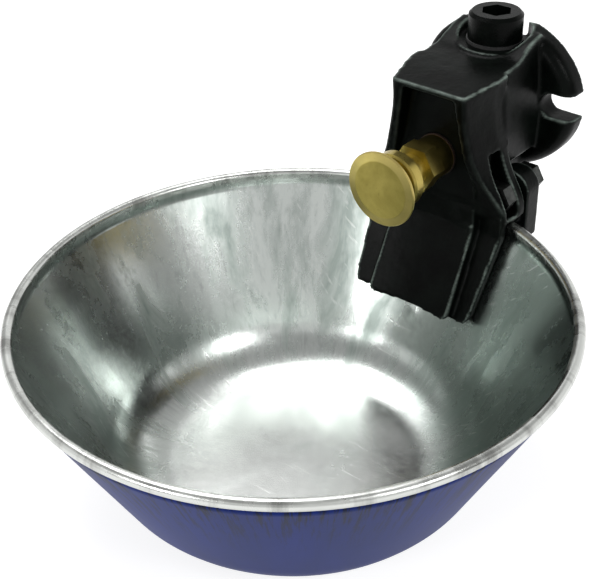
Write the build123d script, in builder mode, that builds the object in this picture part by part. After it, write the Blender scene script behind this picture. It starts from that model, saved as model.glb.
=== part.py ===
"""Livestock drinking bowl: a spun steel bowl hung on a cast valve body with a nose-operated brass valve.

Millimetres. +Z is up and +Y points from the bowl towards the wall or post that carries it.
The origin is on the bowl's axis, at the underside of its flat base.
"""

import math
import os

from build123d import *

# ---------------------------------------------------------------- driving dimensions: bowl
RIM_RADIUS = 120.0
RIM_Z = 86.5
BEAD_RADIUS = 2.4
SHEET = 1.3
WALL_TOP_RADIUS = 118.3
WALL_TOP_Z = 83.5
BASE_CORNER_RADIUS = 75.5
KNUCKLE_RADIUS = 35.0

WALL_SLOPE = (WALL_TOP_RADIUS - BASE_CORNER_RADIUS) / WALL_TOP_Z
WALL_COS = 1.0 / math.hypot(1.0, WALL_SLOPE)

# ---------------------------------------------------------------- driving dimensions: casting
BODY_FOOT_Z = RIM_Z + BEAD_RADIUS + 0.2
APRON_BOTTOM_Z = RIM_Z - 44.0
APRON_THICKNESS = 5.5
PANEL_THICKNESS = 10.0
APRON_HALF_WIDTH_TOP = 37.0
APRON_HALF_WIDTH_FOOT = 32.5
PANEL_HALF_WIDTH = 22.0

JOINT_Y = 121.0
RECESS_FLOOR_Y = 103.5
HOOD_LIP = 2.6
CHEEK_WALL = 3.2

INLET_Y = 147.0
INLET_BOSS_RADIUS = 14.0
COLLAR_RADIUS = 17.7
COLLAR_TOP_Z = RIM_Z + 70.0
INLET_FOOT_Z = RIM_Z - 14.0
THREAD_RADIUS = 9.5
WATERWAY_RADIUS = 8.5
TOP_THREAD_DEPTH = 16.0
INLET_THREAD_LENGTH = 14.0
STRAINER_SEAT_RADIUS = 9.1
STRAINER_SEAT_DEPTH = 1.0

FLANGE_FRONT_Y = 149.0
WALL_FACE_Y = 161.0
FLANGE_ROUNDING = 5.5
FLANGE_TOP_Z = RIM_Z + 77.0
ROOF_FRONT_Z = RIM_Z + 64.6
FLANGE_Z = RIM_Z + 42.5
FLANGE_HALF_WIDTH = 42.2
FLANGE_HALF_HEIGHT = 36.9
SLOT_Z = RIM_Z + 44.3
SLOT_WIDTH = 11.4
SLOT_INNER_X = 25.0

# ---------------------------------------------------------------- driving dimensions: clamp
BOLT_X = 29.0
BOLT_Z = RIM_Z + 12.0
BOLT_RADIUS = 4.0
BOLT_HOLE_RADIUS = 4.5
BOLT_ACROSS_FLATS = 13.0
BOLT_HEAD = 5.3
NUT_HEIGHT = 6.5
NUT_FACE_Y = 115.5
POCKET_DEPTH = 8.0
POCKET_TOP_Z = RIM_Z + 34.0
WASHER_RADIUS = 8.0
WASHER = 1.6
SHOE_FACE_Y = JOINT_Y + 0.5
SHOE_BACK_Y = 132.5
LOBE_RADIUS = 9.8
SHOE_BOTTOM_Z = RIM_Z - 38.0
SHOE_THICKNESS = 6.0

# ---------------------------------------------------------------- driving dimensions: brass valve
VALVE_Z = RIM_Z + 28.9
DISC_FACE_Y = 60.0
DISC_RADIUS = 17.6
DISC_BACK_Y = 62.0
HUB_END_Y = 63.8
STEM_RADIUS = 3.0
STEM_BORE_RADIUS = 3.05
GUIDE_FRONT_Y = 69.0
GUIDE_BACK_Y = 74.8
GUIDE_RADIUS = 13.2
HEX_FRONT_Y = 84.7
HEX_ACROSS_FLATS = 20.0
SHOULDER_FRONT_Y = 93.0
SHOULDER_RADIUS = 9.9
FIBRE_SEAL = 1.2
SPIGOT_RADIUS = 8.8
SPIGOT_END_Y = 114.0
CAGE_SEAT_RADIUS = 7.9
CAGE_SEAT_END_Y = 118.0
SEAT_Y = 119.0
TRAVEL = 5.0
SEAL_GAP = 0.05

CHAMBER_RADIUS = 11.5
CHAMBER_FRONT_Y = 115.0
CAGE_END_Y = 138.2
SPRING_WIRE = 0.5
SPRING_COIL_RADIUS = 4.7
SPRING_TURNS = 5

VALVE_AXIS = Axis((0, 0, VALVE_Z), (0, 1, 0))
TURNING_PLANE = Plane.XY.offset(VALVE_Z)


def facing_y(y, z, x=0.0):
    """A plane across the Y direction whose local x and y are the part's X and Z."""
    return Plane(origin=(x, y, z), x_dir=(1, 0, 0), z_dir=(0, -1, 0))


def outline(points, plane):
    """A closed flat shape through the points."""
    with BuildSketch(plane, mode=Mode.PRIVATE) as shape:
        with BuildLine():
            Polyline(*points, close=True)
        make_face()
    return shape.sketch


def turned(points):
    """A turning profile of (radius, y) points beside the valve's axis."""
    return outline(points, TURNING_PLANE)


def ring_on(plane, outer, inner):
    """A flat ring."""
    with BuildSketch(plane, mode=Mode.PRIVATE) as shape:
        Circle(outer)
        Circle(inner, mode=Mode.SUBTRACT)
    return shape.sketch


def hexagon_on(plane, across_flats, hole=0.0):
    """A hexagon with two flats facing up and down, with a round hole where one is wanted."""
    with BuildSketch(plane, mode=Mode.PRIVATE) as shape:
        RegularPolygon(across_flats / 2, 6, major_radius=False)
        if hole:
            Circle(hole, mode=Mode.SUBTRACT)
    return shape.sketch


def wall_radius(z, inset):
    """The bowl wall's outer radius at height z, moved inwards by inset along its normal."""
    return BASE_CORNER_RADIUS + WALL_SLOPE * z - inset / WALL_COS


def wall_height(radius, inset):
    """The height at which the wall, moved inwards by inset, reaches a radius."""
    return (radius + inset / WALL_COS - BASE_CORNER_RADIUS) / WALL_SLOPE


def apron_band(thickness):
    """The apron's revolving profile: against the wall below, upright where it passes the rim's bead."""
    clear = RIM_RADIUS - 2 * BEAD_RADIUS - 0.2
    neck_z = RIM_Z - 5
    neck_radius = wall_radius(neck_z, SHEET + thickness)
    return outline(
        (
            (wall_radius(APRON_BOTTOM_Z, SHEET), APRON_BOTTOM_Z),
            (clear, wall_height(clear, SHEET)),
            (clear, BODY_FOOT_Z + 4),
            (neck_radius, BODY_FOOT_Z + 4),
            (neck_radius, neck_z),
            (wall_radius(APRON_BOTTOM_Z, SHEET + thickness), APRON_BOTTOM_Z),
        ),
        Plane.XZ,
    )


def shoe_band():
    """The clamp shoe's revolving profile against the outside of the wall."""
    return outline(
        (
            (wall_radius(SHOE_BOTTOM_Z, 0), SHOE_BOTTOM_Z),
            (wall_radius(RIM_Z + 2, 0), RIM_Z + 2),
            (wall_radius(RIM_Z + 2, -SHOE_THICKNESS), RIM_Z + 2),
            (wall_radius(SHOE_BOTTOM_Z, -SHOE_THICKNESS), SHOE_BOTTOM_Z),
        ),
        Plane.XZ,
    )


# ---------------------------------------------------------------- bowl
with BuildPart() as bowl:
    with BuildSketch(Plane.XZ):
        with BuildLine() as sheet_path:
            FilletPolyline(
                (0, 0),
                (BASE_CORNER_RADIUS, 0),
                (WALL_TOP_RADIUS, WALL_TOP_Z),
                (WALL_TOP_RADIUS + 1.0, RIM_Z),
                radius=(KNUCKLE_RADIUS, 2.0),
            )
            offset(amount=SHEET, side=Side.LEFT, closed=True)
        make_face()
        with Locations((RIM_RADIUS - BEAD_RADIUS, RIM_Z)):
            Circle(BEAD_RADIUS)
    revolve(axis=Axis.Z)
bowl.part.label = "bowl"


# ---------------------------------------------------------------- cast valve body
def apron_outline(half_top, half_bottom, corner):
    """The front view of the apron: straight sides closing slightly towards a rounded bottom."""
    plane = facing_y(70.0, 0.0)
    with BuildSketch(plane, mode=Mode.PRIVATE) as shape:
        with BuildLine():
            Polyline(
                (-half_top, BODY_FOOT_Z + 6),
                (half_top, BODY_FOOT_Z + 6),
                (half_bottom, APRON_BOTTOM_Z),
                (-half_bottom, APRON_BOTTOM_Z),
                close=True,
            )
        make_face()
        fillet(shape.vertices().group_by(Axis.Z)[0], radius=corner)
    return shape.sketch


with BuildPart() as apron_plate:
    revolve(apron_band(APRON_THICKNESS), axis=Axis.Z)
    extrude(apron_outline(APRON_HALF_WIDTH_TOP, APRON_HALF_WIDTH_FOOT, 5.0), amount=-60, mode=Mode.INTERSECT)

with BuildPart() as apron_panel:
    revolve(apron_band(PANEL_THICKNESS), axis=Axis.Z)
    extrude(apron_outline(PANEL_HALF_WIDTH - 0.5, PANEL_HALF_WIDTH + 1, 3.0), amount=-60, mode=Mode.INTERSECT)


def block_section(z, half_front, y_front, half_side, y_side, y_back, corner=2.0):
    """One level of the casting in plan, narrower in front than at its sides."""
    with BuildSketch(Plane.XY.offset(z), mode=Mode.PRIVATE) as shape:
        with BuildLine():
            Polyline(
                (-half_front, y_front),
                (half_front, y_front),
                (half_side, y_side),
                (half_side, y_back),
                (-half_side, y_back),
                (-half_side, y_side),
                close=True,
            )
        make_face()
        fillet(shape.vertices().group_by(Axis.Y)[0], radius=corner)
    return shape.sketch


# the front half flares from the hood down to the two clamping lugs
FRONT_LEVELS = (
    block_section(BODY_FOOT_Z, 36.5, 106.0, 38.0, 113, JOINT_Y),
    block_section(RIM_Z + 10, 35.5, 103.6, 37.5, 113, JOINT_Y),
    block_section(RIM_Z + 16, 31.8, 102.0, 34.8, 114, JOINT_Y),
    block_section(RIM_Z + 23, 27.6, 99.6, 30.8, 115, JOINT_Y),
    block_section(RIM_Z + 31, 24.4, 97.2, 27.4, 115, JOINT_Y),
    block_section(RIM_Z + 40, 22.0, 95.6, 25.0, 114, JOINT_Y),
    block_section(RIM_Z + 54, 19.6, 94.3, 22.9, 113, JOINT_Y),
    block_section(RIM_Z + 78, 15.9, 92.4, 21.4, 112, JOINT_Y),
)
REAR_LEVELS = (
    block_section(RIM_Z + 22.5, 22.0, JOINT_Y - 4, 25.0, JOINT_Y, FLANGE_FRONT_Y + 4),
    block_section(RIM_Z + 38, 22.4, JOINT_Y - 4, 25.4, JOINT_Y, FLANGE_FRONT_Y + 4),
    block_section(RIM_Z + 78, 20.0, JOINT_Y - 4, 21.4, JOINT_Y, FLANGE_FRONT_Y + 4),
)

with BuildPart() as wall_flange:
    with BuildSketch(facing_y(WALL_FACE_Y, FLANGE_Z)):
        Ellipse(FLANGE_HALF_WIDTH, FLANGE_HALF_HEIGHT)
        with Locations((0, FLANGE_TOP_Z - FLANGE_Z + 10)):
            Rectangle(100, 20, mode=Mode.SUBTRACT)
    extrude(amount=WALL_FACE_Y - FLANGE_FRONT_Y)
    fillet(wall_flange.edges().group_by(Axis.Y)[0], radius=FLANGE_ROUNDING)

with BuildPart() as valve_body:
    loft(FRONT_LEVELS)
    loft(REAR_LEVELS, ruled=True)
    with BuildSketch(Plane.XY.offset(BODY_FOOT_Z)):
        with Locations((0, (110 + FLANGE_FRONT_Y) / 2)):
            Rectangle(2 * 17.0, FLANGE_FRONT_Y - 110 + 2)
    extrude(amount=RIM_Z + 24 - BODY_FOOT_Z)
    # roof, rising gently from the front edge and sweeping up into the wall flange
    with BuildSketch(Plane.YZ):
        with BuildLine():
            Spline(
                (86, ROOF_FRONT_Z - 0.8),
                (95, ROOF_FRONT_Z + 0.4),
                (111, ROOF_FRONT_Z + 2.5),
                (126, ROOF_FRONT_Z + 3.6),
                (135, ROOF_FRONT_Z + 5.2),
                (141, ROOF_FRONT_Z + 8.6),
                (149, ROOF_FRONT_Z + 11.0),
                (156, ROOF_FRONT_Z + 11.6),
            )
            Polyline(
                (156, ROOF_FRONT_Z + 11.6),
                (156, ROOF_FRONT_Z + 30),
                (86, ROOF_FRONT_Z + 30),
                (86, ROOF_FRONT_Z - 0.8),
            )
        make_face()
    extrude(amount=60, both=True, mode=Mode.SUBTRACT)
    add(apron_plate.part)
    add(apron_panel.part)
    # inlet boss with its collar
    with BuildSketch(Plane.XY.offset(INLET_FOOT_Z)):
        with Locations((0, INLET_Y)):
            Circle(INLET_BOSS_RADIUS)
    extrude(amount=COLLAR_TOP_Z - INLET_FOOT_Z)
    with BuildSketch(Plane.XY.offset(COLLAR_TOP_Z - 9)):
        with Locations((0, INLET_Y)):
            Circle(COLLAR_RADIUS)
    extrude(amount=9)
    add(wall_flange.part)
    # everything behind the wall face is machined off
    with BuildSketch(facing_y(WALL_FACE_Y, FLANGE_Z)):
        Rectangle(120, 220)
    extrude(amount=-30, mode=Mode.SUBTRACT)
    # spot face that lets the plug's head stand in front of the flange
    with BuildSketch(Plane.XY.offset(COLLAR_TOP_Z)):
        with Locations((0, INLET_Y)):
            Circle(COLLAR_RADIUS - 1.2)
    extrude(amount=20, mode=Mode.SUBTRACT)
    # open-ended slots for the fixing bolts
    with BuildSketch(facing_y(WALL_FACE_Y + 1, SLOT_Z)):
        for side in (-1, 1):
            with Locations((side * (SLOT_INNER_X + SLOT_WIDTH / 2), 0)):
                Circle(SLOT_WIDTH / 2)
            with Locations((side * (SLOT_INNER_X + SLOT_WIDTH / 2 + 20), 0)):
                Rectangle(40, SLOT_WIDTH)
    extrude(amount=WALL_FACE_Y - FLANGE_FRONT_Y + 2, mode=Mode.SUBTRACT)
    # recess between the two front cheeks, under the hood
    with BuildSketch(facing_y(RECESS_FLOOR_Y, 0)):
        with BuildLine():
            Polyline(
                (-13.6, ROOF_FRONT_Z - HOOD_LIP),
                (13.6, ROOF_FRONT_Z - HOOD_LIP),
                (15.6, RIM_Z + 50),
                (18.4, RIM_Z + 34),
                (22.4, RIM_Z + 20),
                (22.4, RIM_Z - 2),
                (-22.4, RIM_Z - 2),
                (-22.4, RIM_Z + 20),
                (-18.4, RIM_Z + 34),
                (-15.6, RIM_Z + 50),
                close=True,
            )
        make_face()
    extrude(amount=20, mode=Mode.SUBTRACT)
    # valve chamber and its threaded mouth
    with BuildSketch(facing_y(RECESS_FLOOR_Y - 1, VALVE_Z)):
        Circle(SPIGOT_RADIUS)
    extrude(amount=-(CHAMBER_FRONT_Y - RECESS_FLOOR_Y + 2), mode=Mode.SUBTRACT)
    with BuildSketch(facing_y(CHAMBER_FRONT_Y, VALVE_Z)):
        Circle(CHAMBER_RADIUS)
    extrude(amount=-(INLET_Y - CHAMBER_FRONT_Y - 5), mode=Mode.SUBTRACT)
    # waterway from the bottom inlet to the plugged top
    with BuildSketch(Plane.XY.offset(INLET_FOOT_Z)):
        with Locations((0, INLET_Y)):
            Circle(WATERWAY_RADIUS)
    extrude(amount=COLLAR_TOP_Z - INLET_FOOT_Z, mode=Mode.SUBTRACT)
    with BuildSketch(Plane.XY.offset(INLET_FOOT_Z)):
        with Locations((0, INLET_Y)):
            Circle(STRAINER_SEAT_RADIUS)
    extrude(amount=INLET_THREAD_LENGTH + STRAINER_SEAT_DEPTH, mode=Mode.SUBTRACT)
    with BuildSketch(Plane.XY.offset(INLET_FOOT_Z)):
        with Locations((0, INLET_Y)):
            Circle(THREAD_RADIUS)
    extrude(amount=INLET_THREAD_LENGTH, mode=Mode.SUBTRACT)
    with BuildSketch(Plane.XY.offset(COLLAR_TOP_Z - TOP_THREAD_DEPTH)):
        with Locations((0, INLET_Y)):
            Circle(THREAD_RADIUS)
    extrude(amount=TOP_THREAD_DEPTH, mode=Mode.SUBTRACT)
    # clamp bolt holes and the nut pockets, open to the sides
    with BuildSketch(facing_y(JOINT_Y, BOLT_Z)):
        with Locations((-BOLT_X, 0), (BOLT_X, 0)):
            Circle(BOLT_HOLE_RADIUS)
    extrude(amount=JOINT_Y - NUT_FACE_Y + 1, mode=Mode.SUBTRACT)
    with BuildSketch(Plane.YZ.offset(BOLT_X - 8)):
        with Locations((NUT_FACE_Y - POCKET_DEPTH / 2, (BOLT_Z - 7.6 + POCKET_TOP_Z) / 2)):
            RectangleRounded(POCKET_DEPTH, POCKET_TOP_Z - BOLT_Z + 7.6, 0.9)
    extrude(amount=30, mode=Mode.SUBTRACT)
    with BuildSketch(Plane.YZ.offset(-BOLT_X + 8)):
        with Locations((NUT_FACE_Y - POCKET_DEPTH / 2, (BOLT_Z - 7.6 + POCKET_TOP_Z) / 2)):
            RectangleRounded(POCKET_DEPTH, POCKET_TOP_Z - BOLT_Z + 7.6, 0.9)
    extrude(amount=-30, mode=Mode.SUBTRACT)
valve_body.part.label = "valve_body"

# ---------------------------------------------------------------- clamp shoe outside the bowl
with BuildPart() as shoe_plate:
    revolve(shoe_band(), axis=Axis.Z)
    with BuildSketch(facing_y(70.0, 0.0)):
        with BuildLine():
            Polyline(
                (-36, RIM_Z + 3),
                (36, RIM_Z + 3),
                (27, SHOE_BOTTOM_Z),
                (-27, SHOE_BOTTOM_Z),
                close=True,
            )
        make_face()
    extrude(amount=-80, mode=Mode.INTERSECT)

with BuildPart() as shoe_lobes:
    with BuildSketch(facing_y(SHOE_BACK_Y, 0)):
        with Locations((-BOLT_X, BOLT_Z), (BOLT_X, BOLT_Z)):
            Circle(LOBE_RADIUS)
        with Locations((-BOLT_X, RIM_Z), (BOLT_X, RIM_Z)):
            Rectangle(2 * LOBE_RADIUS, 24)
    extrude(amount=SHOE_BACK_Y - SHOE_FACE_Y)
    fillet(shoe_lobes.edges().group_by(Axis.Y)[-1], radius=1.8)

with BuildPart() as clamp_shoe:
    add(shoe_plate.part)
    add(shoe_lobes.part)
    with BuildSketch(Plane.XZ):
        with BuildLine():
            Polyline(
                (0, 0),
                (wall_radius(0, 0), 0),
                (wall_radius(WALL_TOP_Z, 0), WALL_TOP_Z),
                (RIM_RADIUS + 0.2, RIM_Z - 2),
                (RIM_RADIUS + 0.2, RIM_Z + 8),
                (0, RIM_Z + 8),
                close=True,
            )
        make_face()
    revolve(axis=Axis.Z, mode=Mode.SUBTRACT)
    with BuildSketch(facing_y(SHOE_BACK_Y, BOLT_Z)):
        with Locations((-BOLT_X, 0), (BOLT_X, 0)):
            Circle(BOLT_HOLE_RADIUS)
    extrude(amount=SHOE_BACK_Y - SHOE_FACE_Y, mode=Mode.SUBTRACT)
clamp_shoe.part.label = "clamp_shoe"

# ---------------------------------------------------------------- clamp fasteners
with BuildPart() as clamp_bolts:
    for side in (-1, 1):
        with BuildSketch(facing_y(SHOE_BACK_Y + WASHER, BOLT_Z, side * BOLT_X)):
            RegularPolygon(BOLT_ACROSS_FLATS / 2, 6, major_radius=False)
        extrude(amount=-BOLT_HEAD)
        with BuildSketch(facing_y(SHOE_BACK_Y + WASHER, BOLT_Z, side * BOLT_X)):
            Circle(BOLT_RADIUS)
        extrude(amount=SHOE_BACK_Y + WASHER - NUT_FACE_Y + NUT_HEIGHT + 1)
clamp_bolts.part.label = "clamp_bolts"

with BuildPart() as clamp_washers:
    for side in (-1, 1):
        extrude(
            ring_on(facing_y(SHOE_BACK_Y, BOLT_Z, side * BOLT_X), WASHER_RADIUS, BOLT_HOLE_RADIUS),
            amount=-WASHER,
        )
clamp_washers.part.label = "clamp_washers"

with BuildPart() as clamp_nuts:
    for side in (-1, 1):
        extrude(
            hexagon_on(facing_y(NUT_FACE_Y, BOLT_Z, side * BOLT_X), BOLT_ACROSS_FLATS, BOLT_RADIUS),
            amount=NUT_HEIGHT,
        )
clamp_nuts.part.label = "clamp_nuts"

# ---------------------------------------------------------------- top plug, its seal and the inlet strainer
PLUG_SEAL = 1.5
PLUG_HEAD_RADIUS = 12.6
PLUG_HEAD_TOP_Z = RIM_Z + 84.2
PLUG_SOCKET_ACROSS_FLATS = 12.7

with BuildPart() as plug_seal:
    extrude(
        ring_on(Plane((0, INLET_Y, COLLAR_TOP_Z)), PLUG_HEAD_RADIUS + 0.6, THREAD_RADIUS),
        amount=PLUG_SEAL,
    )
plug_seal.part.label = "plug_seal"

with BuildPart() as top_plug:
    with BuildSketch(Plane.XY.offset(COLLAR_TOP_Z - TOP_THREAD_DEPTH + 3)):
        with Locations((0, INLET_Y)):
            Circle(THREAD_RADIUS)
    extrude(amount=TOP_THREAD_DEPTH - 3 + PLUG_SEAL)
    with BuildSketch(Plane.XY.offset(COLLAR_TOP_Z + PLUG_SEAL)):
        with Locations((0, INLET_Y)):
            Circle(PLUG_HEAD_RADIUS)
    extrude(amount=PLUG_HEAD_TOP_Z - COLLAR_TOP_Z - PLUG_SEAL)
    chamfer(top_plug.edges().group_by(Axis.Z)[-1], length=1.5)
    with BuildSketch(Plane.XY.offset(PLUG_HEAD_TOP_Z)):
        with Locations((0, INLET_Y)):
            RegularPolygon(PLUG_SOCKET_ACROSS_FLATS / 2, 6, major_radius=False)
    extrude(amount=-8, mode=Mode.SUBTRACT)
top_plug.part.label = "top_plug"

STRAINER_SHELF_Z = INLET_FOOT_Z + INLET_THREAD_LENGTH + STRAINER_SEAT_DEPTH
STRAINER_WALL = 0.6
with BuildPart() as inlet_strainer:
    with BuildSketch(Plane.XZ):
        with BuildLine():
            Polyline(
                (WATERWAY_RADIUS - 1.6, STRAINER_SHELF_Z - STRAINER_SEAT_DEPTH),
                (STRAINER_SEAT_RADIUS - 0.1, STRAINER_SHELF_Z - STRAINER_SEAT_DEPTH),
                (STRAINER_SEAT_RADIUS - 0.1, STRAINER_SHELF_Z),
                (WATERWAY_RADIUS - 1.0, STRAINER_SHELF_Z),
                (WATERWAY_RADIUS - 2.0, STRAINER_SHELF_Z + 14),
                (0, STRAINER_SHELF_Z + 14),
                (0, STRAINER_SHELF_Z + 14 - STRAINER_WALL),
                (WATERWAY_RADIUS - 2.6, STRAINER_SHELF_Z + 14 - STRAINER_WALL),
                close=True,
            )
        make_face()
    revolve(axis=Axis.Z)
    strainer_at_axis = inlet_strainer.part
inlet_strainer.part = strainer_at_axis.moved(Location((0, INLET_Y, 0)))
inlet_strainer.part.label = "inlet_strainer"

# ---------------------------------------------------------------- fixed brass: barrel, collar, cage
BARREL_BORE = 5.6
GUIDE_NECK_RADIUS = 7.4
GUIDE_END_Y = 90.0

with BuildPart() as barrel_seal:
    extrude(
        ring_on(facing_y(RECESS_FLOOR_Y, VALVE_Z), SHOULDER_RADIUS + 0.3, SPIGOT_RADIUS),
        amount=FIBRE_SEAL,
    )
barrel_seal.part.label = "barrel_seal"

with BuildPart() as valve_barrel:
    extrude(
        hexagon_on(facing_y(SHOULDER_FRONT_Y, VALVE_Z), HEX_ACROSS_FLATS),
        amount=SHOULDER_FRONT_Y - HEX_FRONT_Y,
    )
    revolve(
        turned(
            (
                (0, SHOULDER_FRONT_Y - 1),
                (SHOULDER_RADIUS - 0.8, SHOULDER_FRONT_Y - 1),
                (SHOULDER_RADIUS, SHOULDER_FRONT_Y),
                (SHOULDER_RADIUS, RECESS_FLOOR_Y - FIBRE_SEAL),
                (SPIGOT_RADIUS, RECESS_FLOOR_Y - FIBRE_SEAL),
                (SPIGOT_RADIUS, SPIGOT_END_Y),
                (CAGE_SEAT_RADIUS, SPIGOT_END_Y),
                (CAGE_SEAT_RADIUS, CAGE_SEAT_END_Y),
                (BARREL_BORE + 1.2, CAGE_SEAT_END_Y),
                (BARREL_BORE + 0.9, SEAT_Y),
                (0, SEAT_Y),
            )
        ),
        axis=VALVE_AXIS,
    )
    revolve(
        turned(
            (
                (0, HEX_FRONT_Y),
                (GUIDE_NECK_RADIUS, HEX_FRONT_Y),
                (GUIDE_NECK_RADIUS, GUIDE_END_Y),
                (BARREL_BORE, GUIDE_END_Y),
                (BARREL_BORE, SEAT_Y),
                (0, SEAT_Y),
            )
        ),
        axis=VALVE_AXIS,
        mode=Mode.SUBTRACT,
    )
valve_barrel.part.label = "valve_barrel"

with BuildPart() as guide_collar:
    revolve(
        turned(
            (
                (STEM_BORE_RADIUS, GUIDE_FRONT_Y),
                (GUIDE_RADIUS - 1.0, GUIDE_FRONT_Y),
                (GUIDE_RADIUS, GUIDE_FRONT_Y + 0.8),
                (GUIDE_RADIUS, GUIDE_BACK_Y - 0.6),
                (GUIDE_RADIUS - 0.6, GUIDE_BACK_Y),
                (GUIDE_NECK_RADIUS, GUIDE_BACK_Y),
                (GUIDE_NECK_RADIUS, GUIDE_END_Y),
                (STEM_BORE_RADIUS, GUIDE_END_Y),
            )
        ),
        axis=VALVE_AXIS,
    )
    with BuildSketch(facing_y(GUIDE_END_Y, VALVE_Z)):
        with PolarLocations(4.7, 6):
            Circle(1.0)
    extrude(amount=GUIDE_END_Y - GUIDE_FRONT_Y, mode=Mode.SUBTRACT)
guide_collar.part.label = "guide_collar"

CAGE_RADIUS = 8.6
CAGE_WALL = 0.7
with BuildPart() as spring_cage:
    revolve(
        turned(
            (
                (CAGE_SEAT_RADIUS, SPIGOT_END_Y),
                (CAGE_RADIUS, SPIGOT_END_Y),
                (CAGE_RADIUS, CAGE_END_Y),
                (3.5, CAGE_END_Y),
                (3.5, CAGE_END_Y - CAGE_WALL),
                (CAGE_SEAT_RADIUS, CAGE_END_Y - CAGE_WALL),
            )
        ),
        axis=VALVE_AXIS,
    )
    with BuildSketch(TURNING_PLANE):
        with Locations((0, 128)):
            Rectangle(30, 9)
    extrude(amount=4, both=True, mode=Mode.SUBTRACT)
spring_cage.part.label = "spring_cage"

# ---------------------------------------------------------------- moving plunger
SHOULDER_END_Y = SEAT_Y + SEAL_GAP
SEAL_END_Y = SHOULDER_END_Y + 3.0
HOLDER_END_Y = SEAL_END_Y + 1.6
SEAL_NUT_END_Y = HOLDER_END_Y + 3.0
STEM_FRONT_Y = 61.2
STEM_TAIL_RADIUS = 2.0

with BuildPart() as push_disc:
    revolve(
        turned(
            (
                (0, DISC_FACE_Y),
                (13.4, DISC_FACE_Y),
                (DISC_RADIUS - 0.4, DISC_FACE_Y + 0.5),
                (DISC_RADIUS, DISC_FACE_Y + 0.9),
                (DISC_RADIUS, DISC_BACK_Y - 0.5),
                (DISC_RADIUS - 0.5, DISC_BACK_Y),
                (8.0, DISC_BACK_Y + 0.4),
                (6.5, HUB_END_Y),
                (STEM_RADIUS, HUB_END_Y),
                (STEM_RADIUS, STEM_FRONT_Y),
                (0, STEM_FRONT_Y),
            )
        ),
        axis=VALVE_AXIS,
    )
push_disc.part.label = "push_disc"

with BuildPart() as plunger_stem:
    revolve(
        turned(
            (
                (0, STEM_FRONT_Y),
                (STEM_RADIUS, STEM_FRONT_Y),
                (STEM_RADIUS, SHOULDER_END_Y - 2),
                (4.2, SHOULDER_END_Y - 2),
                (4.2, SHOULDER_END_Y),
                (STEM_TAIL_RADIUS, SHOULDER_END_Y),
                (STEM_TAIL_RADIUS, SEAL_NUT_END_Y + 1),
                (0, SEAL_NUT_END_Y + 1),
            )
        ),
        axis=VALVE_AXIS,
    )
plunger_stem.part.label = "plunger_stem"

with BuildPart() as seal_washer:
    extrude(ring_on(facing_y(SEAL_END_Y, VALVE_Z), 7.3, STEM_TAIL_RADIUS), amount=SEAL_END_Y - SHOULDER_END_Y)
seal_washer.part.label = "seal_washer"

with BuildPart() as seal_holder:
    extrude(ring_on(facing_y(HOLDER_END_Y, VALVE_Z), 7.4, STEM_TAIL_RADIUS), amount=HOLDER_END_Y - SEAL_END_Y)
seal_holder.part.label = "seal_holder"

with BuildPart() as seal_nut:
    extrude(
        hexagon_on(facing_y(SEAL_NUT_END_Y, VALVE_Z), 6.6, STEM_TAIL_RADIUS),
        amount=SEAL_NUT_END_Y - HOLDER_END_Y,
    )
seal_nut.part.label = "seal_nut"

# ---------------------------------------------------------------- return spring
SPRING_START_Y = HOLDER_END_Y + SPRING_WIRE + 0.05
SPRING_END_Y = CAGE_END_Y - CAGE_WALL - SPRING_WIRE - 0.05
SPRING_LENGTH = SPRING_END_Y - SPRING_START_Y
with BuildPart() as return_spring:
    with BuildLine() as coil:
        Helix(
            pitch=SPRING_LENGTH / SPRING_TURNS,
            height=SPRING_LENGTH,
            radius=SPRING_COIL_RADIUS,
            center=(0, SPRING_START_Y, VALVE_Z),
            direction=(0, 1, 0),
        )
    with BuildSketch(Plane(coil.line @ 0, z_dir=coil.line % 0)):
        RegularPolygon(SPRING_WIRE, 6)
    sweep(is_frenet=True)
return_spring.part.label = "return_spring"

PIECES = (
    bowl,
    valve_body,
    clamp_shoe,
    clamp_bolts,
    clamp_washers,
    clamp_nuts,
    plug_seal,
    top_plug,
    inlet_strainer,
    barrel_seal,
    valve_barrel,
    guide_collar,
    spring_cage,
    push_disc,
    plunger_stem,
    seal_washer,
    seal_holder,
    seal_nut,
    return_spring,
)

os.makedirs("parts", exist_ok=True)
for piece in PIECES:
    export_step(piece.part, f"parts/{piece.part.label}.step")
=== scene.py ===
"""Looks of the livestock drinking bowl: bare spun steel, a black casting and a worn brass push valve."""

import math

import bmesh
import bpy
import numpy as np
from mathutils import Matrix, Vector, noise


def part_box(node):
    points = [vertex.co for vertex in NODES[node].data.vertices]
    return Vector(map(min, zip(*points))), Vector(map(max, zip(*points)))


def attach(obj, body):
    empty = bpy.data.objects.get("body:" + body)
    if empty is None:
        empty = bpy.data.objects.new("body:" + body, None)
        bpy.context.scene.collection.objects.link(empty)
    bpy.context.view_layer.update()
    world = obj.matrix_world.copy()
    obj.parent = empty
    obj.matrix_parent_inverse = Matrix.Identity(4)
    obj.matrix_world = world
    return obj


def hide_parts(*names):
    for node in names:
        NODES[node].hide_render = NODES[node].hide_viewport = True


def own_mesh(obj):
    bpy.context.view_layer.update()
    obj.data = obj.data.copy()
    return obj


MM = 0.001

# sizes the looks need, in millimetres, as the frame has them
RIM_Z = 86.5
RIM_RADIUS = 120.0
BEAD_RADIUS = 2.4
SHEET = 1.3
BASE_CORNER_RADIUS = 75.5
WALL_TOP_RADIUS = 118.3
WALL_TOP_Z = 83.5
KNUCKLE_RADIUS = 35.0
VALVE_Z = RIM_Z + 28.9
INLET_Y = 147.0
INLET_FOOT_Z = 72.5

# the pip on the bowl's inner wall: its middle, its radius and how far it is pushed out, before the falloff
PIP = (-1.5, 91.5, RIM_Z - 52.5)
PIP_RADIUS = 2.8
PIP_PUSH = 1.2
PIP_FALLOFF = 1.6
PIP_WAY = (0, -0.9, 0.45)

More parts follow.
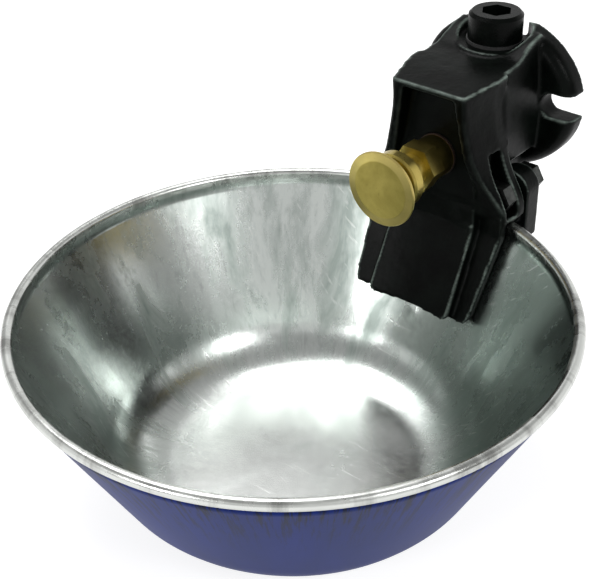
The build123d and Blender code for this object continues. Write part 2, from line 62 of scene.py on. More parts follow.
# the bowl's section: steps round an arc, up the wall and round the bead, where the bead starts and ends,
# the steps round the bowl, and the radius of the path that carries the section
ARC_STEPS = 20
WALL_STEPS = 24
BEAD_STEPS = 26
BEAD_FROM = math.radians(172)
BEAD_TO = math.radians(-125)
STEPS_ROUND = 288
LATHE_PATH = 1.0

# the castings' skin: voxel sizes, rounding, and the depth of its roughness
BODY_VOXEL = 0.85
SHOE_VOXEL = 0.55
ROUNDING = 0.5
ROUNDING_PASSES = 6
ROUGHNESS = 0.08
GRAINS_PER_MM = 0.55
WAVES_PER_MM = 0.16

# how close, in metres, points are merged and edges are dissolved
MERGE_FIRST = 0.000002
MERGE_LAST = 0.000003
DISSOLVE = 0.000001

# wear along edges, which also paints edge highlights that are brighter on faces turned up: the bend where it
# starts and its span, and how a face's slope weakens it
WEAR_FROM = 0.035
WEAR_SPAN = 0.06
SLOPE_FROM = 0.05
SLOPE_SPAN = 0.45
LEAST_WEAR = 0.12

# the half-inch pipe thread: 14 ridges to the inch
THREAD_RADIUS = 9.55
THREAD_PITCH = 1.814
THREAD_TURNS = 6.5
THREAD_RIDGE = 0.55
THREAD_LEAD = 1.1

# the camera: focal length and picture width in pixels, distance from the rim's middle, and its bearings
FOCAL_PIXELS = 1200.0
PICTURE_WIDTH = 589
SENSOR_WIDTH = 36.0
DISTANCE = 501.35
ELEVATION = math.radians(34.554)
AZIMUTH = math.radians(41.5)
PAN = math.radians(-0.14)
TILT = math.radians(0.801)
ROLL = math.radians(-1.837)

# the room that metal reflects: its ceiling, and the bearing, width and depth of each darker gap in its sides,
# in degrees and as a share of white
CEILING_FROM = math.radians(36.5)
CEILING_EDGE = 0.035
CEILING_LEVEL = 0.40
ROOM_GAPS = (
    (-48.5, 90.0, 0.25),
    (-100.0, 26.0, 0.6),
    (10.0, 34.0, 0.65),
    (-15.0, 14.0, 0.6),
    (170.0, 50.0, 0.5),
)
MATT_LIGHT = 0.45
FLOOR_REACH = 6000.0
FLOOR_GREY = 0.45
FLOOR_GLOW = 0.80

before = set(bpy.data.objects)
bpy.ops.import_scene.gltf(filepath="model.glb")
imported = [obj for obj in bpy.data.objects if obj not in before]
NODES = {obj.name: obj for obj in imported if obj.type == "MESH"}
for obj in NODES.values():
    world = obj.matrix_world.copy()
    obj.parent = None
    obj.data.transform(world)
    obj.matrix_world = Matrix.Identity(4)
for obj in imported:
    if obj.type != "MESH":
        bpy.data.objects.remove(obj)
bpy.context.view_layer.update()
scene = bpy.context.scene


# ---------------------------------------------------------------- small helpers for node trees
class Tree:
    """A short way to write a node tree: new nodes, their inputs, and links between them."""

    def __init__(self, tree):
        self.tree = tree
        self.column = 0

    def node(self, kind, inputs=None, **settings):
        """A new node with its settings and inputs; an input that is a socket is linked."""
        made = self.tree.nodes.new(kind)
        self.column += 1
        made.location = (180 * (self.column % 12), -220 * (self.column // 12))
        for key, value in settings.items():
            setattr(made, key, value)
        for key, value in (inputs or {}).items():
            self.give(made.inputs[key], value)
        return made

    def give(self, socket, value):
        """Links a socket to the value when that is a socket too, and sets it otherwise."""
        if isinstance(value, bpy.types.NodeSocket):
            self.tree.links.new(value, socket)
        else:
            socket.default_value = value

    def math(self, operation, a, b=0.0, clamp=False):
        """One sum on two numbers."""
        return self.node("ShaderNodeMath", {0: a, 1: b}, operation=operation, use_clamp=clamp).outputs[0]

    def vector(self, operation, a, b=(0, 0, 0)):
        """One sum on two vectors; a length or a dot product is a number."""
        made = self.node("ShaderNodeVectorMath", {0: a, 1: b}, operation=operation)
        return made.outputs["Value" if operation in ("LENGTH", "DOT_PRODUCT") else "Vector"]

    def apart(self, vector):
        """The three numbers of a vector."""
        return self.node("ShaderNodeSeparateXYZ", {0: vector}).outputs

    def together(self, x=0.0, y=0.0, z=0.0):
        """A vector from three numbers."""
        return self.node("ShaderNodeCombineXYZ", {0: x, 1: y, 2: z}).outputs[0]

    def between(self, value, low, high, at_low=0.0, at_high=1.0):
        """A number carried from one range over to another, and held at its ends."""
        inputs = {0: value, 1: low, 2: high, 3: at_low, 4: at_high}
        return self.node("ShaderNodeMapRange", inputs).outputs[0]

    def ramp(self, value, *stops):
        """A ramp through (position, grey) stops."""
        made = self.node("ShaderNodeValToRGB", {"Fac": value})
        for element, (position, grey) in zip(made.color_ramp.elements, stops, strict=True):
            element.position = position
            element.color = (grey, grey, grey, 1)
        return made.outputs["Color"]

    def mix(self, factor, a, b):
        """Two colours mixed by a factor."""
        a, b = ((*tint, 1) if isinstance(tint, tuple) else tint for tint in (a, b))
        return self.node("ShaderNodeMix", {0: factor, 6: a, 7: b}, data_type="RGBA").outputs[2]

    def mix_numbers(self, factor, a, b):
        """Two numbers mixed by a factor."""
        return self.node("ShaderNodeMix", {0: factor, 2: a, 3: b}, data_type="FLOAT").outputs[0]

    def noise(self, coordinates, scale, detail=4.0, roughness=0.55, distortion=0.0):
        """Cloudy noise in the given coordinates."""
        inputs = {
            "Vector": coordinates,
            "Scale": scale,
            "Detail": detail,
            "Roughness": roughness,
            "Distortion": distortion,
        }
        return self.node("ShaderNodeTexNoise", inputs).outputs["Fac"]

    def tool_marks(self, radius, height, fineness):
        """Fine rings about an axis, as turning and spinning leave them."""
        out, up = (self.math("MULTIPLY", size, fineness) for size in (radius, height))
        return self.noise(self.together(out, up), 1.0, 2.0)


def empty_tree(owner):
    """The node tree of a material or a world, without its nodes."""
    owner.use_nodes = True
    owner.node_tree.nodes.clear()
    return Tree(owner.node_tree)


def new_material(name):
    """An empty material with its shader, ready for links."""
    material = bpy.data.materials.new(name)
    t = empty_tree(material)
    shader = t.node("ShaderNodeBsdfPrincipled")
    t.node("ShaderNodeOutputMaterial", {"Surface": shader.outputs["BSDF"]})
    return material, t, shader


def finish_shader(t, shader, height, strength, distance, **sockets):
    """Gives a shader its values, by socket names with underscores, and a bump in metres."""
    bump = t.node("ShaderNodeBump", {"Strength": strength, "Distance": distance, "Height": height})
    t.give(shader.inputs["Normal"], bump.outputs[0])
    for name, value in sockets.items():
        t.give(shader.inputs[name.replace("_", " ")], value)


# ---------------------------------------------------------------- geometry trees
def geometry_tree(name, sizes):
    """An empty geometry tree with its named sizes and a material, and its input and output nodes."""
    group = bpy.data.node_groups.new(name, "GeometryNodeTree")
    group.interface.new_socket("Geometry", in_out="INPUT", socket_type="NodeSocketGeometry")
    for label, size in sizes.items():
        kind = "NodeSocketInt" if isinstance(size, int) else "NodeSocketFloat"
        socket = group.interface.new_socket(label, in_out="INPUT", socket_type=kind)
        socket.default_value = size
    group.interface.new_socket("Material", in_out="INPUT", socket_type="NodeSocketMaterial")
    group.interface.new_socket("Geometry", in_out="OUTPUT", socket_type="NodeSocketGeometry")
    t = Tree(group)
    return group, t, t.node("NodeGroupInput"), t.node("NodeGroupOutput")


def end_tree(t, made, given, out):
    """Ends a geometry tree: instances made real, and the material set."""
    real = t.node("GeometryNodeRealizeInstances", {"Geometry": made.outputs[0]})
    painted = t.node(
        "GeometryNodeSetMaterial", {"Geometry": real.outputs[0], "Material": given.outputs["Material"]}
    )
    t.tree.links.new(painted.outputs[0], out.inputs[0])


def run_tree(piece, group, values):
    """Runs a geometry tree on a piece and leaves the plain mesh that it makes."""
    modifier = piece.modifiers.new(group.name, "NODES")
    modifier.node_group = group
    for item in group.interface.items_tree:
        if item.in_out == "INPUT" and item.name in values:
            modifier[item.identifier] = values[item.name]
    leave_plain_mesh(piece)


def leave_plain_mesh(piece):
    """Swaps a piece's mesh for the one that its modifiers make, and removes the modifiers."""
    graph = bpy.context.evaluated_depsgraph_get()
    made = bpy.data.meshes.new_from_object(piece.evaluated_get(graph))
    piece.modifiers.clear()
    old = piece.data
    piece.data = made
    bpy.data.meshes.remove(old)
    made.name = piece.name


def new_piece(name, points, edges=(), faces=()):
    """A new object with a mesh from points in millimetres."""
    mesh = bpy.data.meshes.new(name)
    mesh.from_pydata([[c * MM for c in point] for point in points], list(edges), list(faces))
    piece = bpy.data.objects.new(name, mesh)
    scene.collection.objects.link(piece)
    return piece


def copied_piece(name, node):
    """A new object with a copy of a CAD node's mesh."""
    piece = bpy.data.objects.new(name, NODES[node].data.copy())
    scene.collection.objects.link(piece)
    return piece


def read_points(mesh, what):
    """A mesh's points or normals as rows of three numbers."""
    values = np.empty(len(mesh.vertices) * 3)
    mesh.vertices.foreach_get(what, values)
    return values.reshape(-1, 3)


def tidy_mesh(piece):
    """Merges doubled points, turns the faces outwards and shades them smooth."""
    work = bmesh.new()
    work.from_mesh(piece.data)
    bmesh.ops.remove_doubles(work, verts=work.verts, dist=MERGE_LAST)
    bmesh.ops.dissolve_degenerate(work, edges=work.edges, dist=DISSOLVE)
    bmesh.ops.recalc_face_normals(work, faces=work.faces)
    for face in work.faces:
        face.smooth = True
    work.to_mesh(piece.data)
    work.free()


# ---------------------------------------------------------------- materials
def bowl_steel():
    """Bare spun steel inside, worn bright on the rim, with streaked blue outside that is a painted reflection
    of a blue surround.
    """
    material, t, shader = new_material("bowl_steel")
    coordinates = t.node("ShaderNodeTexCoord").outputs
    place, facing = coordinates["Object"], coordinates["Normal"]
    x, y, z = t.apart(place)
    flat = t.together(x, y)
    radius = t.vector("LENGTH", flat)
    around = t.vector("NORMALIZE", flat)
    # points that turn with the bowl and hardly change down the wall, so that smears run down it
    down = t.vector("ADD", around, t.together(z=t.math("MULTIPLY", z, 4.0)))
    on_wall = t.between(radius, 0.050, 0.078)

    # bare metal: water marks, dark smears on the wall, a cloudy floor
    # the floor's tint is painted paler than the wall's, as a painted reflection of the light above it
    floor_tint_painted_paler, pale_wall_tint, stained = (0.80, 0.82, 0.80), (0.62, 0.655, 0.63), (0.30, 0.345, 0.32)
    clouds = t.noise(place, 24.0, 6.0, 0.6, 0.6)
    specks = t.noise(place, 420.0, 3.0, 0.6)
    wall_stain = t.ramp(t.noise(down, 5.0, 6.0, 0.62, 0.35), (0.36, 1.0), (0.56, 0.0))
    floor_stain = t.ramp(clouds, (0.30, 0.35), (0.52, 0.0))
    stain = t.mix(on_wall, floor_stain, wall_stain)
    tint = t.mix(stain, t.mix(on_wall, floor_tint_painted_paler, pale_wall_tint), stained)
    # one side of the wall is painted darker over a wide patch, as painted shade
    wall_side_painted_shade = t.vector("DOT_PRODUCT", around, (0.80, 0.60, 0.0))
    wall_side_painted_shade = t.between(wall_side_painted_shade, 0.40, 0.95, 0.0, 0.85)
    tint = t.mix(t.math("MULTIPLY", wall_side_painted_shade, on_wall), tint, (0.17, 0.215, 0.19))
    fine_smears = t.noise(down, 26.0, 4.0, 0.65, 0.2)
    fine_dark = t.math("MULTIPLY", t.ramp(fine_smears, (0.30, 0.26), (0.46, 0.0)), on_wall)
    tint = t.mix(fine_dark, tint, (0.17, 0.20, 0.185))
    tint = t.mix(t.ramp(clouds, (0.50, 0.0), (0.72, 0.10)), tint, (0.74, 0.76, 0.74))
    tint = t.mix(t.ramp(specks, (0.68, 0.0), (0.80, 0.22)), tint, (0.24, 0.26, 0.25))

    # scratches: three sets of thin lines at their own turns
    scratch = 0.0
    for turn, shift in ((0.35, 0.0), (1.25, 0.31), (2.4, 0.73)):
        drawn = t.node(
            "ShaderNodeMapping",
            {
                "Vector": place,
                "Scale": (7.0, 260.0, 40.0),
                "Rotation": (0, 0, turn),
                "Location": (shift, shift, 0),
            },
        )
        lines = t.ramp(t.noise(drawn.outputs[0], 3.0, 2.0, 0.5), (0.70, 0.0), (0.735, 1.0))
        scratch = t.math("MAXIMUM", scratch, lines)
    tint = t.mix(t.math("MULTIPLY", scratch, 0.30), tint, (0.80, 0.81, 0.79))
    bare_rough = t.math("ADD", t.math("MULTIPLY", stain, 0.16), t.math("MULTIPLY", specks, 0.12))
    bare_rough = t.math("ADD", bare_rough, 0.16)

    # the bead: rubbed bright on top, with dark wear in streaks across it
    bead = t.between(z, 0.0838, 0.0852)
    rub = t.noise(t.vector("MULTIPLY", around, (9.0, 9.0, 0)), 1.0, 5.0, 0.6)
    worn, bright = (0.34, 0.345, 0.33), (0.62, 0.635, 0.61)
    tint = t.mix(bead, tint, t.mix(t.ramp(rub, (0.34, 0.0), (0.50, 1.0)), worn, bright))

    # blue outside, below the bead, with dark strokes under the rim: a blue surround's reflection painted in
    # as the colour of a plain non-metal surface
    outwards = t.math("GREATER_THAN", t.vector("DOT_PRODUCT", facing, around), 0.05)
    below = t.math("LESS_THAN", t.apart(facing)[2], 0.0)
    under_bead = t.math("LESS_THAN", z, 0.0846)
    outside_painted_blue = t.math("MULTIPLY", t.math("MAXIMUM", outwards, below), under_bead)
    long_down = t.vector("ADD", around, t.together(z=t.math("MULTIPLY", z, 0.7)))
    strokes = t.noise(long_down, 42.0, 5.0, 0.75, 0.1)
    near_rim = t.between(z, 0.040, 0.080)
    smudge = t.math("MULTIPLY", t.ramp(strokes, (0.49, 0.0), (0.58, 1.0)), near_rim, True)
    painted_blue_reflection = t.mix(t.noise(down, 4.0), (0.002, 0.015, 0.105), (0.004, 0.026, 0.25))
    painted_blue_reflection = t.mix(t.math("MULTIPLY", smudge, 0.9), painted_blue_reflection, (0.006, 0.009, 0.016))

    scratched = t.math("MULTIPLY", scratch, -0.5)
    height = t.math("ADD", t.math("MULTIPLY", t.tool_marks(radius, z, 700.0), 0.25), scratched)
    finish_shader(
        t,
        shader,
        height,
        0.10,
        0.0002,
        Base_Color=t.mix(outside_painted_blue, tint, painted_blue_reflection),
        Metallic=t.math("SUBTRACT", 1.0, outside_painted_blue),
        Roughness=t.mix_numbers(outside_painted_blue, bare_rough, 0.46),
        Specular_IOR_Level=0.12,
    )
    return material


def black_casting(name, gloss):
    """Black coating over rough cast iron, rubbed grey along its edges: partly wear, partly painted highlight.
    """
    material, t, shader = new_material(name)
    place = t.node("ShaderNodeTexCoord").outputs["Object"]
    wear_and_highlight = t.node("ShaderNodeAttribute", attribute_name="edge_wear_and_highlight").outputs["Fac"]
    mottle = t.noise(place, 60.0, 6.0, 0.65, 0.3)
    pits = t.noise(place, 620.0, 4.0, 0.7)
    patches = t.noise(place, 150.0, 5.0, 0.7, 0.2)
    deep, lighter, bared_and_highlight = (0.0008, 0.0011, 0.0009), (0.0028, 0.0044, 0.0034), (0.22, 0.27, 0.24)
    tint = t.mix(t.ramp(mottle, (0.38, 0.0), (0.70, 1.0)), deep, lighter)
    rubbed_and_lit = t.math("MULTIPLY", wear_and_highlight, t.ramp(patches, (0.34, 0.35), (0.60, 1.0)), True)
    # edges rubbed to grey and painted brighter where they face up: partly wear, partly painted highlight
    tint = t.mix(t.math("MULTIPLY", rubbed_and_lit, 0.8), tint, bared_and_highlight)
    rough = t.math("ADD", t.math("MULTIPLY", mottle, 0.26), gloss - 0.20)
    finish_shader(t, shader, pits, 0.30, 0.0003, Base_Color=tint, Roughness=rough, Specular_IOR_Level=0.06)
    return material


def worn_brass():
    """Brass gone olive with fine brown specks, turning marks, and a painted highlight round the disc's face.
    """
    material, t, shader = new_material("worn_brass")
    bright, dull = (0.52, 0.41, 0.115), (0.34, 0.27, 0.064)
    brown, painted_edge_highlight = (0.09, 0.055, 0.018), (0.66, 0.54, 0.22)
    place = t.node("ShaderNodeTexCoord").outputs["Object"]
    tarnish = t.noise(place, 60.0, 5.0, 0.6, 0.4)
    specks = t.noise(place, 800.0, 3.0, 0.6)
    x, y, z = t.apart(place)
    radius = t.vector("LENGTH", t.together(x, t.math("SUBTRACT", z, VALVE_Z * MM)))
    tint = t.mix(t.ramp(tarnish, (0.30, 0.0), (0.66, 1.0)), dull, bright)
    tint = t.mix(t.ramp(specks, (0.62, 0.0), (0.78, 0.55)), tint, brown)
    # a painted highlight on the band round the disc's flat middle
    highlight_band = t.ramp(t.math("MULTIPLY", radius, 50.0), (0.66, 0.0), (0.70, 1.0))
    front = t.math("LESS_THAN", y, 0.0625)
    tint = t.mix(t.math("MULTIPLY", t.math("MULTIPLY", highlight_band, front), 0.35), tint, painted_edge_highlight)
    rough = t.math("ADD", t.math("MULTIPLY", tarnish, 0.20), 0.20)
    marks = t.tool_marks(radius, y, 2200.0)
    finish_shader(t, shader, marks, 0.20, 0.0001, Base_Color=tint, Metallic=1.0, Roughness=rough)
    return material


def plain_finish(name, tint, dark, roughness, metallic=0.0):
    """A quiet finish: two close colours in a fine cloud, with a little grain."""
    material, t, shader = new_material(name)
    place = t.node("ShaderNodeTexCoord").outputs["Object"]
    cloud = t.noise(place, 300.0, 5.0, 0.6)
    grain = t.noise(place, 1500.0, 2.0)
    shade = t.mix(t.ramp(cloud, (0.3, 0.0), (0.7, 1.0)), dark, tint)
    rough = t.math("ADD", t.math("MULTIPLY", cloud, 0.2), roughness - 0.1)
    finish_shader(t, shader, grain, 0.15, 0.0002, Base_Color=shade, Metallic=metallic, Roughness=rough)
    return material


STEEL = bowl_steel()
CASTING = black_casting("black_casting", 0.40)
PLUG_BLACK = black_casting("plug_black", 0.36)
BRASS = worn_brass()
FASTENER = plain_finish("dulled_fastener", (0.10, 0.105, 0.10), (0.03, 0.032, 0.03), 0.42, 1.0)
RUBBER = plain_finish("black_rubber", (0.022, 0.022, 0.022), (0.012, 0.012, 0.012), 0.6)
FIBRE = plain_finish("brown_fibre", (0.045, 0.020, 0.012), (0.02, 0.010, 0.007), 0.7)
SPRING = plain_finish("spring_steel", (0.5, 0.5, 0.48), (0.3, 0.3, 0.3), 0.3, 1.0)
PLASTIC = plain_finish("natural_plastic", (0.62, 0.61, 0.55), (0.5, 0.49, 0.43), 0.45)

FINISHES = {
    "bowl": STEEL,
    "valve_body": CASTING,
    "clamp_shoe": CASTING,
    "clamp_bolts": FASTENER,
    "clamp_washers": FASTENER,
    "clamp_nuts": FASTENER,
    "plug_seal": RUBBER,
    "top_plug": PLUG_BLACK,
    "inlet_strainer": PLASTIC,
    "barrel_seal": FIBRE,
    "valve_barrel": BRASS,
    "guide_collar": BRASS,
    "spring_cage": PLASTIC,
    "push_disc": BRASS,
    "plunger_stem": BRASS,
    "seal_washer": RUBBER,
    "seal_holder": BRASS,
    "seal_nut": BRASS,
    "return_spring": SPRING,
}
for node_name, finish in FINISHES.items():
    for material_slot in NODES[node_name].material_slots:
        material_slot.material = finish


# ---------------------------------------------------------------- the spun bowl
def arc_between(centre, start, end):
    """Points on the shorter arc from start to end about centre, both ends included."""
    a0 = math.atan2(start[1] - centre[1], start[0] - centre[0])
    a1 = math.atan2(end[1] - centre[1], end[0] - centre[0])
    turn = (a1 - a0 + math.pi) % (2 * math.pi) - math.pi
    radius = math.hypot(start[0] - centre[0], start[1] - centre[1])
    return [polar(centre, radius, a0 + turn * i / ARC_STEPS) for i in range(ARC_STEPS + 1)]


def polar(centre, radius, angle):
    """The point at a radius and an angle from centre."""
    return centre[0] + radius * math.cos(angle), centre[1] + radius * math.sin(angle)


def straight_from(start, way, length):
    """Points in even steps along a straight line, without its start."""
    return [
        (start[0] + way[0] * length * i / WALL_STEPS, start[1] + way[1] * length * i / WALL_STEPS)
        for i in range(1, WALL_STEPS + 1)
    ]


def bowl_profile():
    """The bowl's closed section: inside from the middle out, round the bead, and back below."""
    slope = math.atan2(WALL_TOP_Z, WALL_TOP_RADIUS - BASE_CORNER_RADIUS)
    up_wall = (math.cos(slope), math.sin(slope))
    down_wall = (-up_wall[0], -up_wall[1])
    out_of_wall = (math.sin(slope), -math.cos(slope))
    centre = (BASE_CORNER_RADIUS - KNUCKLE_RADIUS * math.tan(slope / 2), KNUCKLE_RADIUS)
    inner = KNUCKLE_RADIUS - SHEET
    foot_outside = (centre[0] + KNUCKLE_RADIUS * out_of_wall[0], centre[1] + KNUCKLE_RADIUS * out_of_wall[1])
    foot_inside = (centre[0] + inner * out_of_wall[0], centre[1] + inner * out_of_wall[1])
    top_inside = (WALL_TOP_RADIUS - SHEET * out_of_wall[0], WALL_TOP_Z - SHEET * out_of_wall[1])
    bead = (RIM_RADIUS - BEAD_RADIUS, RIM_Z)

    inside = [(0.0, SHEET), (centre[0] * 0.5, SHEET)]
    inside += arc_between(centre, (centre[0], SHEET), foot_inside)
    inside += straight_from(foot_inside, up_wall, math.dist(foot_inside, top_inside) - 1.5)
    # the sheet turns over outwards, nearly closes on itself and ends in a thin dark gap under the bead
    rolled = [
        polar(bead, BEAD_RADIUS, BEAD_FROM + (BEAD_TO - BEAD_FROM) * i / BEAD_STEPS)
        for i in range(BEAD_STEPS + 1)
    ]
    gap = [(bead[0] - 0.7, bead[1] - 1.15)]
    below = [(WALL_TOP_RADIUS - up_wall[0] * 1.6, WALL_TOP_Z - up_wall[1] * 1.6)]
    below += straight_from(below[0], down_wall, math.dist(below[0], foot_outside))
    below += arc_between(centre, foot_outside, (centre[0], 0.0))[1:]
    below += [(centre[0] * 0.5, 0.0), (0.0, 0.0)]
    return inside + rolled + gap + below


def lathe_tree():
    """A profile turned about the Z axis."""
    group, t, given, out = geometry_tree("lathe", {"Steps Round": STEPS_ROUND})
    profile = t.node("GeometryNodeMeshToCurve", {0: given.outputs["Geometry"]})
    path = t.node(
        "GeometryNodeCurvePrimitiveCircle",
        {"Resolution": given.outputs["Steps Round"], "Radius": LATHE_PATH * MM},
    )
    turned = t.node(
        "GeometryNodeCurveToMesh", {"Curve": path.outputs[0], "Profile Curve": profile.outputs[0]}
    )
    merged = t.node("GeometryNodeMergeByDistance", {"Geometry": turned.outputs[0], "Distance": MERGE_FIRST})
    smooth = t.node("GeometryNodeSetShadeSmooth", {"Geometry": merged.outputs[0]})
    end_tree(t, smooth, given, out)
    return group


def ripple_tree():
    """Pushes a surface along its normals by a soft cloud that is drawn out downwards."""
    sizes = {
        "Ripple Depth": 0.0002,
        "Ripple Scale": 20.0,
        "Hammer Depth": 0.00005,
        "Hammer Scale": 90.0,
    }
    group, t, given, out = geometry_tree("ripples", sizes)
    place = t.node("GeometryNodeInputPosition").outputs[0]
    drawn = t.vector("MULTIPLY", place, (1.0, 1.0, 0.35))
    parts = []
    for points, scale, depth in (
        (drawn, "Ripple Scale", "Ripple Depth"),
        (place, "Hammer Scale", "Hammer Depth"),
    ):
        cloud = t.node("ShaderNodeTexNoise", {"Vector": points, "Scale": given.outputs[scale], "Detail": 2.0})
        lift = t.math("MULTIPLY", t.math("SUBTRACT", cloud.outputs["Fac"], 0.5), given.outputs[depth])
        parts.append(t.math("MULTIPLY", lift, 2.0))
    push = t.math("ADD", parts[0], parts[1])
    normal = t.node("GeometryNodeInputNormal").outputs[0]
    offset = t.node("ShaderNodeVectorMath", {0: normal, "Scale": push}, operation="SCALE").outputs[0]
    moved = t.node("GeometryNodeSetPosition", {"Geometry": given.outputs["Geometry"], "Offset": offset})
    end_tree(t, moved, given, out)
    return group


def spun_bowl():
    """The bowl: a lathed sheet with a rolled bead, faint ripples and a small embossed pip."""
    # the profile lies flat, and the path that carries it turns it upright
    points = [(radius - LATHE_PATH, -height, 0) for radius, height in bowl_profile()]
    bowl = new_piece("bowl_sheet", points, [(i, i + 1) for i in range(len(points) - 1)])
    run_tree(bowl, lathe_tree(), {"Steps Round": STEPS_ROUND, "Material": STEEL})
    run_tree(bowl, ripple_tree(), {"Ripple Depth": 0.00022, "Hammer Depth": 0.00002, "Material": STEEL})
    places = read_points(bowl.data, "co")
    away = np.linalg.norm(places - np.array(Vector(PIP) * MM), axis=1)
    lift = np.exp(-((away / (PIP_RADIUS * MM)) ** 2) * PIP_FALLOFF) * PIP_PUSH * MM
    places += lift[:, None] * np.array(PIP_WAY)
    # nothing sinks below the base or stands out past the rim
    places[:, 2] = np.maximum(places[:, 2], 0.0)
    reach = np.maximum(np.hypot(places[:, 0], places[:, 1]) / (RIM_RADIUS * MM), 1.0)
    places[:, :2] /= reach[:, None]
    bowl.data.vertices.foreach_set("co", places.ravel())
    bowl.data.update()
    tidy_mesh(bowl)
    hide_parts("bowl")
    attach(bowl, "housing")


# ---------------------------------------------------------------- the rough castings
def cast_piece(name, node, voxel):
    """A casting's CAD shape with its edges rounded, a rough skin and its worn edges marked, which also carry
    painted edge highlights.
    """
    piece = copied_piece(name, node)
    low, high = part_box(node)
    work = bmesh.new()
    work.from_mesh(piece.data)
    bmesh.ops.remove_doubles(work, verts=work.verts, dist=MERGE_FIRST)
    work.to_mesh(piece.data)
    work.free()
    remesh = piece.modifiers.new("even_mesh", "REMESH")
    remesh.mode = "VOXEL"
    remesh.voxel_size = voxel * MM
    soften = piece.modifiers.new("rounded_edges", "SMOOTH")
    soften.factor = ROUNDING
    soften.iterations = ROUNDING_PASSES
    leave_plain_mesh(piece)
    made = piece.data
    mark_worn_and_lit_edges(made, voxel * MM)
    places = read_points(made, "co")
    rough = np.array([roughness_at(Vector(place)) for place in places / MM])
    places += read_points(made, "normal") * rough[:, None] * ROUGHNESS * MM
    places = np.clip(places, np.array(low), np.array(high))
    made.vertices.foreach_set("co", places.ravel())
    made.update()
    made.materials.clear()
    made.materials.append(CASTING)
    made.polygons.foreach_set("use_smooth", np.ones(len(made.polygons), bool))
    made.polygons.foreach_set("material_index", np.zeros(len(made.polygons), int))
    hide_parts(node)
    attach(piece, "housing")


def roughness_at(place):
    """How far the cast surface stands out at a place in millimetres: fine grain on soft waves."""
    return noise.fractal(place * GRAINS_PER_MM, 0.9, 2.0, 4) * 0.6 + noise.noise(place * WAVES_PER_MM) * 0.9


def mark_worn_and_lit_edges(mesh, step):
    """Writes how far each point stands out from its neighbours, weakened on faces that turn down, as the
    edge-wear attribute, which also paints edge highlights.
    """
    total = len(mesh.vertices)
    places = read_points(mesh, "co")
    normals = read_points(mesh, "normal")
    ends = np.empty(len(mesh.edges) * 2, int)
    mesh.edges.foreach_get("vertices", ends)
    a, b = ends[0::2], ends[1::2]
    count = np.bincount(ends, minlength=total).clip(1)

    def around(values):
        """The mean of each point's neighbours."""
        spread = np.empty_like(values)
        for axis in range(values.shape[1]):
            given = np.r_[values[b, axis], values[a, axis]]
            spread[:, axis] = np.bincount(np.r_[a, b], given, minlength=total) / count
        return spread

    bend = -((around(places) - places) * normals).sum(axis=1, keepdims=True) / step
    bend = 0.5 * bend + 0.5 * around(bend)
    lit_from_above = np.clip((normals[:, 2] - SLOPE_FROM) / SLOPE_SPAN, LEAST_WEAR, 1)
    wear_and_highlight = np.clip((bend[:, 0] - WEAR_FROM) / WEAR_SPAN, 0, 1) * lit_from_above
    layer = mesh.attributes.new("edge_wear_and_highlight", "FLOAT", "POINT")
    layer.data.foreach_set("value", wear_and_highlight)


# ---------------------------------------------------------------- the inlet's thread and the spring
def helix_tree():
    """A thread's ridge: a bar of six sides wound along a spiral."""
    sizes = {"Radius": 0.0095, "Pitch": 0.0018, "Turns": 6.0, "Ridge": 0.0005}
    group, t, given, out = geometry_tree("thread", sizes)
    path = t.node(
        "GeometryNodeCurveSpiral",
        {
            "Resolution": 48,
            "Rotations": given.outputs["Turns"],
            "Start Radius": given.outputs["Radius"],
            "End Radius": given.outputs["Radius"],
            "Height": t.math("MULTIPLY", given.outputs["Turns"], given.outputs["Pitch"]),
        },
    )
    bar = t.node("GeometryNodeCurvePrimitiveCircle", {"Resolution": 6, "Radius": given.outputs["Ridge"]})
    wound = t.node(
        "GeometryNodeCurveToMesh",
        {"Curve": path.outputs[0], "Profile Curve": bar.outputs[0], "Fill Caps": True},
    )
    end_tree(t, wound, given, out)
    return group


def inlet_thread():
    """The ridges of the pipe thread inside the water inlet."""
    ridge = new_piece("inlet_thread", [(0, 0, 0)])
    sizes = {
        "Radius": THREAD_RADIUS * MM,
        "Pitch": THREAD_PITCH * MM,
        "Turns": THREAD_TURNS,
        "Ridge": THREAD_RIDGE * MM,
    }
    run_tree(ridge, helix_tree(), {**sizes, "Material": CASTING})
    ridge.data.transform(Matrix.Translation((0, INLET_Y * MM, (INLET_FOOT_Z + THREAD_LEAD) * MM)))
    tidy_mesh(ridge)
    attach(ridge, "housing")


def shortening_spring():
    """The return spring: a copy of the CAD spring with its own mesh and spring-steel finish."""
    spring = copied_piece("closing_spring", "return_spring")
    tidy_mesh(spring)
    spring.data.materials.clear()
    spring.data.materials.append(SPRING)
    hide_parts("return_spring")
    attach(spring, "housing")
    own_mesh(spring)


spun_bowl()
inlet_thread()
shortening_spring()
cast_piece("casting_skin", "valve_body", BODY_VOXEL)
cast_piece("shoe_skin", "clamp_shoe", SHOE_VOXEL)


# ---------------------------------------------------------------- camera, light and floor
def turned_pair(first, second, angle):
    """Two axes at right angles, after a turn that carries the first towards the second."""
    cosine, sine = math.cos(angle), math.sin(angle)
    return first * cosine + second * sine, second * cosine - first * sine


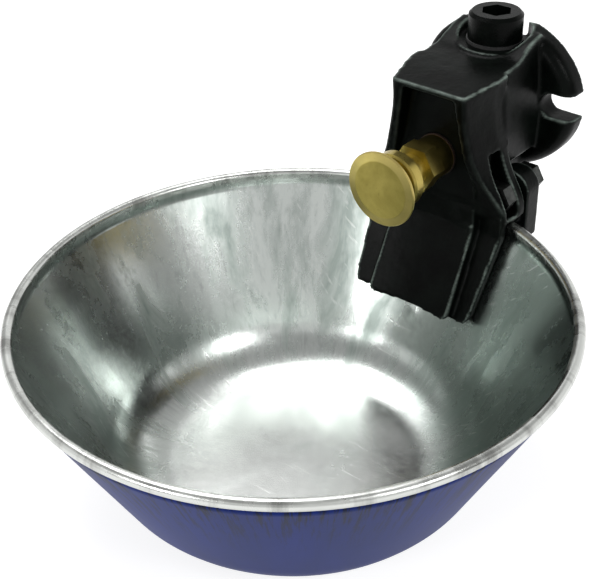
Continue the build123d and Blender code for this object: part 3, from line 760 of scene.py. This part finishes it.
def viewing_camera():
    """The camera: above and to the right of the valve's front, aimed at the middle of the rim."""
    right = Vector((math.cos(AZIMUTH), math.sin(AZIMUTH), 0))
    level = Vector((-math.sin(AZIMUTH), math.cos(AZIMUTH), 0))
    ahead = level * math.cos(ELEVATION) - Vector((0, 0, math.sin(ELEVATION)))
    up = right.cross(ahead)
    place = Vector((0, 0, RIM_Z)) - ahead * DISTANCE
    right, ahead = turned_pair(right, ahead, PAN)
    ahead, up = turned_pair(ahead, up, TILT)
    right, up = turned_pair(right, up, ROLL)
    camera = bpy.data.objects.new("camera", bpy.data.cameras.new("camera"))
    camera.data.sensor_fit = "HORIZONTAL"
    camera.data.sensor_width = SENSOR_WIDTH
    camera.data.lens = SENSOR_WIDTH * FOCAL_PIXELS / PICTURE_WIDTH
    camera.data.clip_start = 0.01
    turn = Matrix((right, up, -ahead)).transposed().to_4x4()
    camera.matrix_world = Matrix.Translation(place * MM) @ turn
    scene.collection.objects.link(camera)
    scene.camera = camera


def area_lamp(name, place, aim, size, power):
    """A soft square lamp that faces a point."""
    lamp = bpy.data.lights.new(name, "AREA")
    lamp.size = size
    lamp.energy = power
    holder = bpy.data.objects.new(name, lamp)
    holder.location = place
    holder.rotation_euler = (Vector(aim) - Vector(place)).to_track_quat("-Z", "Y").to_euler()
    scene.collection.objects.link(holder)


def white_world():
    """A white room: what metal and the camera see of it, and a plain soft light on everything else."""
    world = bpy.data.worlds.new("white_world")
    scene.world = world
    t = empty_tree(world)
    path = t.node("ShaderNodeLightPath").outputs
    x, y, z = t.apart(t.node("ShaderNodeTexCoord").outputs["Generated"])
    turn = t.math("ARCTAN2", y, x)
    # the room's white wall ends under a greyer ceiling
    ceiling = t.between(t.math("ARCSINE", z), CEILING_FROM, CEILING_FROM + CEILING_EDGE)
    # darker gaps between the bright sides of the room, at their bearings
    gaps = 0.0
    for degrees, width, depth in ROOM_GAPS:
        bearing = math.radians(degrees)
        wrapped = t.node(
            "ShaderNodeMath", {0: turn, 1: bearing + math.pi, 2: bearing - math.pi}, operation="WRAP"
        )
        off = t.math("ABSOLUTE", t.math("SUBTRACT", wrapped.outputs[0], bearing))
        gap = t.between(off, math.radians(width * 0.35), math.radians(width * 0.65), depth, 0.0)
        gaps = t.math("MAXIMUM", gaps, gap)
    reflected = t.mix_numbers(ceiling, t.math("SUBTRACT", 1.0, gaps), CEILING_LEVEL)
    strength = t.mix_numbers(path["Is Glossy Ray"], MATT_LIGHT, reflected)
    seen = t.math("MAXIMUM", path["Is Camera Ray"], path["Is Transmission Ray"])
    strength = t.mix_numbers(seen, strength, 1.0)
    shade = t.node("ShaderNodeBackground", {"Color": (1, 1, 1, 1), "Strength": strength})
    t.node("ShaderNodeOutputWorld", {"Surface": shade.outputs[0]})


def pale_floor():
    """A large white floor that keeps the object's shadow."""
    corners = [(x * FLOOR_REACH, y * FLOOR_REACH, 0) for x, y in ((-1, -1), (1, -1), (1, 1), (-1, 1))]
    floor = new_piece("floor", corners, (), [(0, 1, 2, 3)])
    material = bpy.data.materials.new("pale_floor")
    t = empty_tree(material)
    path = t.node("ShaderNodeLightPath").outputs
    seen = t.math("MAXIMUM", path["Is Camera Ray"], path["Is Glossy Ray"])
    seen = t.math("MAXIMUM", seen, path["Is Transmission Ray"])
    matt = t.node("ShaderNodeBsdfDiffuse", {"Color": (FLOOR_GREY, FLOOR_GREY, FLOOR_GREY, 1)})
    strength = t.math("MULTIPLY", seen, FLOOR_GLOW)
    glow = t.node("ShaderNodeEmission", {"Color": (1, 1, 1, 1), "Strength": strength})
    both = t.node("ShaderNodeAddShader", {0: matt.outputs[0], 1: glow.outputs[0]})
    t.node("ShaderNodeOutputMaterial", {"Surface": both.outputs[0]})
    floor.data.materials.append(material)


viewing_camera()
white_world()
pale_floor()
area_lamp("top_lamp", (-0.5, 0.2, 1.3), (0, 0, 0.05), 0.8, 11.0)
area_lamp("side_lamp", (1.1, -0.1, 0.9), (0, 0.1, 0.1), 0.4, 5.0)
area_lamp("front_lamp", (-0.1, -1.1, 0.55), (0, 0.08, 0.11), 0.3, 3.0)
scene.view_settings.view_transform = "Standard"
